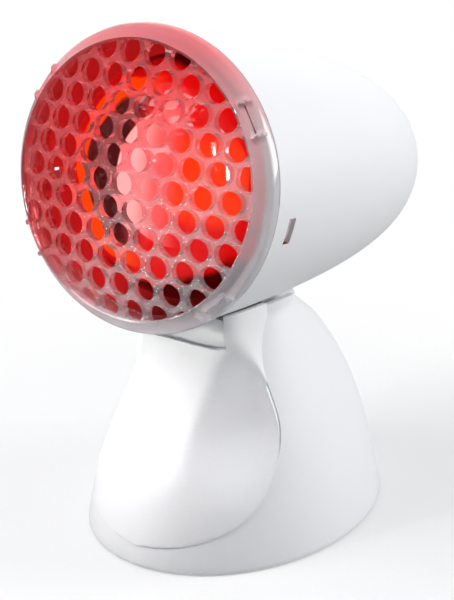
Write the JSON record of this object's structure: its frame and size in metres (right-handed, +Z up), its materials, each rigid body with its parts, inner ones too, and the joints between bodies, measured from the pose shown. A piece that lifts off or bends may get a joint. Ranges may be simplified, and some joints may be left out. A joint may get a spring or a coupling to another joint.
{
  "type": "infrared heat lamp",
  "caption": "Table-top infrared heat lamp: a round reflector lamp head behind a perforated clear guard, tilting on a bell-shaped stand.",
  "frame": {"origin": "centre of the foot ring's underside, on the table", "axes": "+Z up, -Y the way the lamp faces, +X to the right of someone looking into the lamp's mouth"},
  "size_m": [0.116, 0.1891, 0.217],
  "materials": {
    "white_shell": "satin",
    "petal_shell": "satin",
    "guard_clear": "clear polycarbonate",
    "ruby_glass": "gloss",
    "mirror_coat": "polished",
    "steel_sheet": "satin",
    "steel_small": "satin",
    "brass_parts": "satin",
    "ceramic": "glazed",
    "black_rubber": "matt",
    "black_glass": "gloss",
    "stem_glass": "clear",
    "wire_sheath": "matt"
  },
  "bodies": {
    "stand": {"rear_cowl": "white_shell", "front_petal": "petal_shell", "base_plate": "steel_sheet", "foot_ring": "black_rubber", "base_screws": "steel_small", "pivot_frame": "steel_sheet", "frame_screws": "steel_small", "pivot_axle": "steel_small", "axle_clips": "steel_small", "detent_spring": "steel_small", "spring_screws": "steel_small", "cord_inlet": "black_rubber", "terminal_block": "ceramic", "terminal_screws": "steel_small", "lamp_wires": "wire_sheath"},
    "head": {"tilt_drum": "white_shell", "drum_screws": "steel_small", "head_housing": "white_shell", "guard": "guard_clear", "bulb_glass": "ruby_glass", "bulb_mirror": "mirror_coat", "bulb_cap": "brass_parts", "bulb_insulator": "black_glass", "bulb_contact": "brass_parts", "bulb_stem": "stem_glass", "bulb_filament": "steel_small", "holder_body": "ceramic", "holder_sleeve": "brass_parts", "holder_contact": "brass_parts", "holder_screws": "steel_small", "holder_plate": "steel_sheet", "plate_screws": "steel_small"}
  },
  "joints": [
    {"name": "head_tilt", "type": "hinge", "parent": "stand", "child": "head", "pos_m": [0, 0.006, 0.086], "axis": [-1, 0, 0], "range_deg": [0, 30], "deforming": ["detent_spring", "lamp_wires"]}
  ]
}
